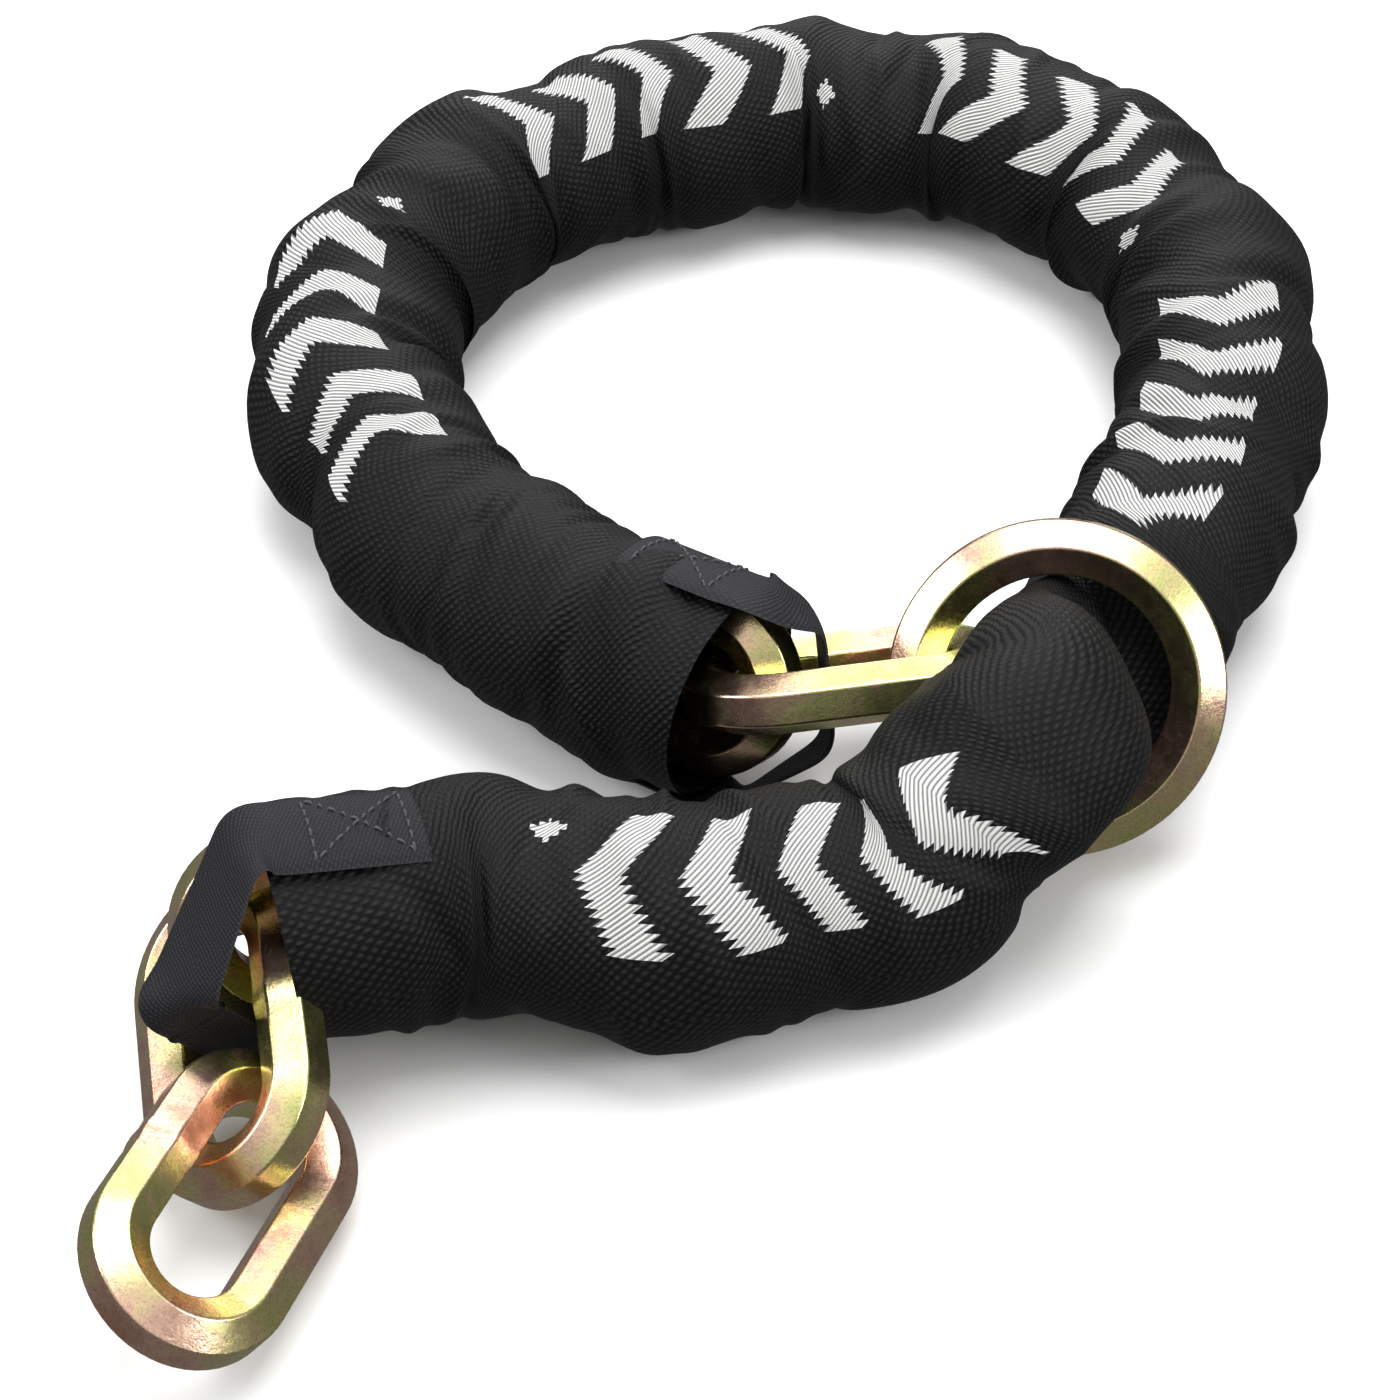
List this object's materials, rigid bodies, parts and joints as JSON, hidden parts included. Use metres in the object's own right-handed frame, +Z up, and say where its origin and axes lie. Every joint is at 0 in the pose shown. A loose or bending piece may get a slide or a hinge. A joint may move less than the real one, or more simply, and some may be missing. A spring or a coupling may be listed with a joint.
{
  "type": "noose security chain",
  "caption": "Hexagonal-link security chain in a black woven sleeve, closed into a noose through a large end ring",
  "frame": {"origin": "centre of the bounding box, on the surface the chain lies on", "axes": "+Z up; -Y towards the free end, +X to the side the ring is on"},
  "size_m": [0.2708, 0.4233, 0.0656],
  "materials": {
    "plated_steel": "yellow zinc plated hardened steel, satin",
    "sleeve_fabric": "coarse woven polyester tube",
    "webbing": "tight woven strap",
    "thread": "sewing thread"
  },
  "bodies": {
    "chain_01": {"link_01": "plated_steel"},
    "chain_02": {"link_02": "plated_steel", "sleeve_02": "sleeve_fabric", "strap_ring_end": "webbing", "stitches_ring_end": "thread"},
    "chain_03": {"link_03": "plated_steel", "sleeve_03": "sleeve_fabric"},
    "chain_04": {"link_04": "plated_steel", "sleeve_04": "sleeve_fabric"},
    "chain_05": {"link_05": "plated_steel", "sleeve_05": "sleeve_fabric"},
    "chain_06": {"link_06": "plated_steel", "sleeve_06": "sleeve_fabric"},
    "chain_07": {"link_07": "plated_steel", "sleeve_07": "sleeve_fabric"},
    "chain_08": {"link_08": "plated_steel", "sleeve_08": "sleeve_fabric"},
    "chain_09": {"link_09": "plated_steel", "sleeve_09": "sleeve_fabric"},
    "chain_10": {"link_10": "plated_steel", "sleeve_10": "sleeve_fabric"},
    "chain_11": {"link_11": "plated_steel", "sleeve_11": "sleeve_fabric"},
    "chain_12": {"link_12": "plated_steel", "sleeve_12": "sleeve_fabric"},
    "chain_13": {"link_13": "plated_steel", "sleeve_13": "sleeve_fabric"},
    "chain_14": {"link_14": "plated_steel", "sleeve_14": "sleeve_fabric"},
    "chain_15": {"link_15": "plated_steel", "sleeve_15": "sleeve_fabric"},
    "chain_16": {"link_16": "plated_steel", "sleeve_16": "sleeve_fabric"},
    "chain_17": {"link_17": "plated_steel", "sleeve_17": "sleeve_fabric"},
    "chain_18": {"link_18": "plated_steel", "sleeve_18": "sleeve_fabric"},
    "chain_19": {"link_19": "plated_steel", "sleeve_19": "sleeve_fabric", "strap_free_end": "webbing", "stitches_free_end": "thread"},
    "chain_20": {"link_20": "plated_steel"},
    "chain_21": {"link_21": "plated_steel"},
    "ring": {"noose_ring": "plated_steel"}
  },
  "joints": [
    {"name": "bend_14_15", "type": "hinge", "parent": "chain_15", "child": "chain_14", "pos_m": [0.07314, -0.02723, 0.02373], "axis": [0, 0, 1], "range_deg": [-3.02, 2.03]},
    {"name": "bend_13_14", "type": "hinge", "parent": "chain_14", "child": "chain_13", "pos_m": [0.0943, 0.01547, 0.02613], "axis": [0, 0, 1], "range_deg": [-2.75, 1.85]},
    {"name": "bend_12_13", "type": "hinge", "parent": "chain_13", "child": "chain_12", "pos_m": [0.10996, 0.05996, 0.02731], "axis": [0, 0, 1], "range_deg": [-1.1, 0.75]},
    {"name": "bend_11_12", "type": "hinge", "parent": "chain_12", "child": "chain_11", "pos_m": [0.11142, 0.10754, 0.02767], "axis": [0, 0, 1], "range_deg": [-1.39, 2.06]},
    {"name": "bend_10_11", "type": "hinge", "parent": "chain_11", "child": "chain_10", "pos_m": [0.09276, 0.1511, 0.02739], "axis": [0, 0, 1], "range_deg": [-2, 3]},
    {"name": "bend_09_10", "type": "hinge", "parent": "chain_10", "child": "chain_09", "pos_m": [0.05412, 0.18031, 0.02736], "axis": [0, 0, 1], "range_deg": [-1.63, 2.42]},
    {"name": "bend_08_09", "type": "hinge", "parent": "chain_09", "child": "chain_08", "pos_m": [0.0075, 0.18746, 0.02667], "axis": [0, 0, 1], "range_deg": [-1.1, 0.75]},
    {"name": "bend_07_08", "type": "hinge", "parent": "chain_08", "child": "chain_07", "pos_m": [-0.0384, 0.17362, 0.02681], "axis": [0, 0, 1], "range_deg": [-2.41, 1.62]},
    {"name": "bend_06_07", "type": "hinge", "parent": "chain_07", "child": "chain_06", "pos_m": [-0.07735, 0.14728, 0.02637], "axis": [0, 0, 1], "range_deg": [-2.77, 1.86]},
    {"name": "bend_05_06", "type": "hinge", "parent": "chain_06", "child": "chain_05", "pos_m": [-0.10181, 0.10537, 0.02636], "axis": [0, 0, 1], "range_deg": [-1.09, 0.74]},
    {"name": "bend_04_05", "type": "hinge", "parent": "chain_05", "child": "chain_04", "pos_m": [-0.10352, 0.05837, 0.0257], "axis": [0, 0, 1], "range_deg": [-0.85, 1.25]},
    {"name": "bend_03_04", "type": "hinge", "parent": "chain_04", "child": "chain_03", "pos_m": [-0.08234, 0.01515, 0.0255], "axis": [0, 0, 1], "range_deg": [-1.95, 2.9]},
    {"name": "bend_02_03", "type": "hinge", "parent": "chain_03", "child": "chain_02", "pos_m": [-0.04906, -0.01809, 0.02724], "axis": [0, 0, 1], "range_deg": [-1.09, 1.6]},
    {"name": "bend_01_02", "type": "hinge", "parent": "chain_02", "child": "chain_01", "pos_m": [-0.00926, -0.04563, 0.02993], "axis": [0, 0, 1], "range_deg": [-0.65, 0.95]},
    {"name": "bend_15_16", "type": "hinge", "parent": "chain_15", "child": "chain_16", "pos_m": [0.05564, -0.06647, 0.04823], "axis": [0, 0, 1], "range_deg": [-1, 3]},
    {"name": "bend_16_17", "type": "hinge", "parent": "chain_16", "child": "chain_17", "pos_m": [0.02378, -0.09496, 0.02397], "axis": [0, 0, 1], "range_deg": [-3, 4]},
    {"name": "bend_17_18", "type": "hinge", "parent": "chain_17", "child": "chain_18", "pos_m": [-0.02179, -0.10736, 0.02466], "axis": [0, 0, 1], "range_deg": [-4, 5]},
    {"name": "bend_18_19", "type": "hinge", "parent": "chain_18", "child": "chain_19", "pos_m": [-0.06863, -0.10315, 0.02789], "axis": [0, 0, 1], "range_deg": [-4, 5]},
    {"name": "bend_19_20", "type": "hinge", "parent": "chain_19", "child": "chain_20", "pos_m": [-0.11861, -0.11431, 0.03337], "axis": [0, 0, 1], "range_deg": [-4, 5]},
    {"name": "bend_20_21", "type": "hinge", "parent": "chain_20", "child": "chain_21", "pos_m": [-0.10426, -0.15698, 0.01723], "axis": [0, 0, 1], "range_deg": [-1, 8]},
    {"name": "ring_turn", "type": "hinge", "parent": "chain_01", "child": "ring", "pos_m": [0.0598, -0.046, 0.03384], "axis": [-0.1318, -0.7877, 0.6018], "continuous": true}
  ],
  "couplings": [
    {"joint": "bend_14_15", "follows": "bend_10_11", "ratio": -0.9894},
    {"joint": "bend_13_14", "follows": "bend_10_11", "ratio": -0.8986},
    {"joint": "bend_12_13", "follows": "bend_10_11", "ratio": -0.35},
    {"joint": "bend_11_12", "follows": "bend_10_11", "ratio": 0.6713},
    {"joint": "bend_09_10", "follows": "bend_10_11", "ratio": 0.7901},
    {"joint": "bend_08_09", "follows": "bend_10_11", "ratio": -0.35},
    {"joint": "bend_07_08", "follows": "bend_10_11", "ratio": -0.7874},
    {"joint": "bend_06_07", "follows": "bend_10_11", "ratio": -0.907},
    {"joint": "bend_05_06", "follows": "bend_10_11", "ratio": -0.347},
    {"joint": "bend_04_05", "follows": "bend_10_11", "ratio": 0.3999},
    {"joint": "bend_03_04", "follows": "bend_10_11", "ratio": 0.95},
    {"joint": "bend_02_03", "follows": "bend_10_11", "ratio": 0.5182},
    {"joint": "bend_01_02", "follows": "bend_10_11", "ratio": 0.3}
  ]
}
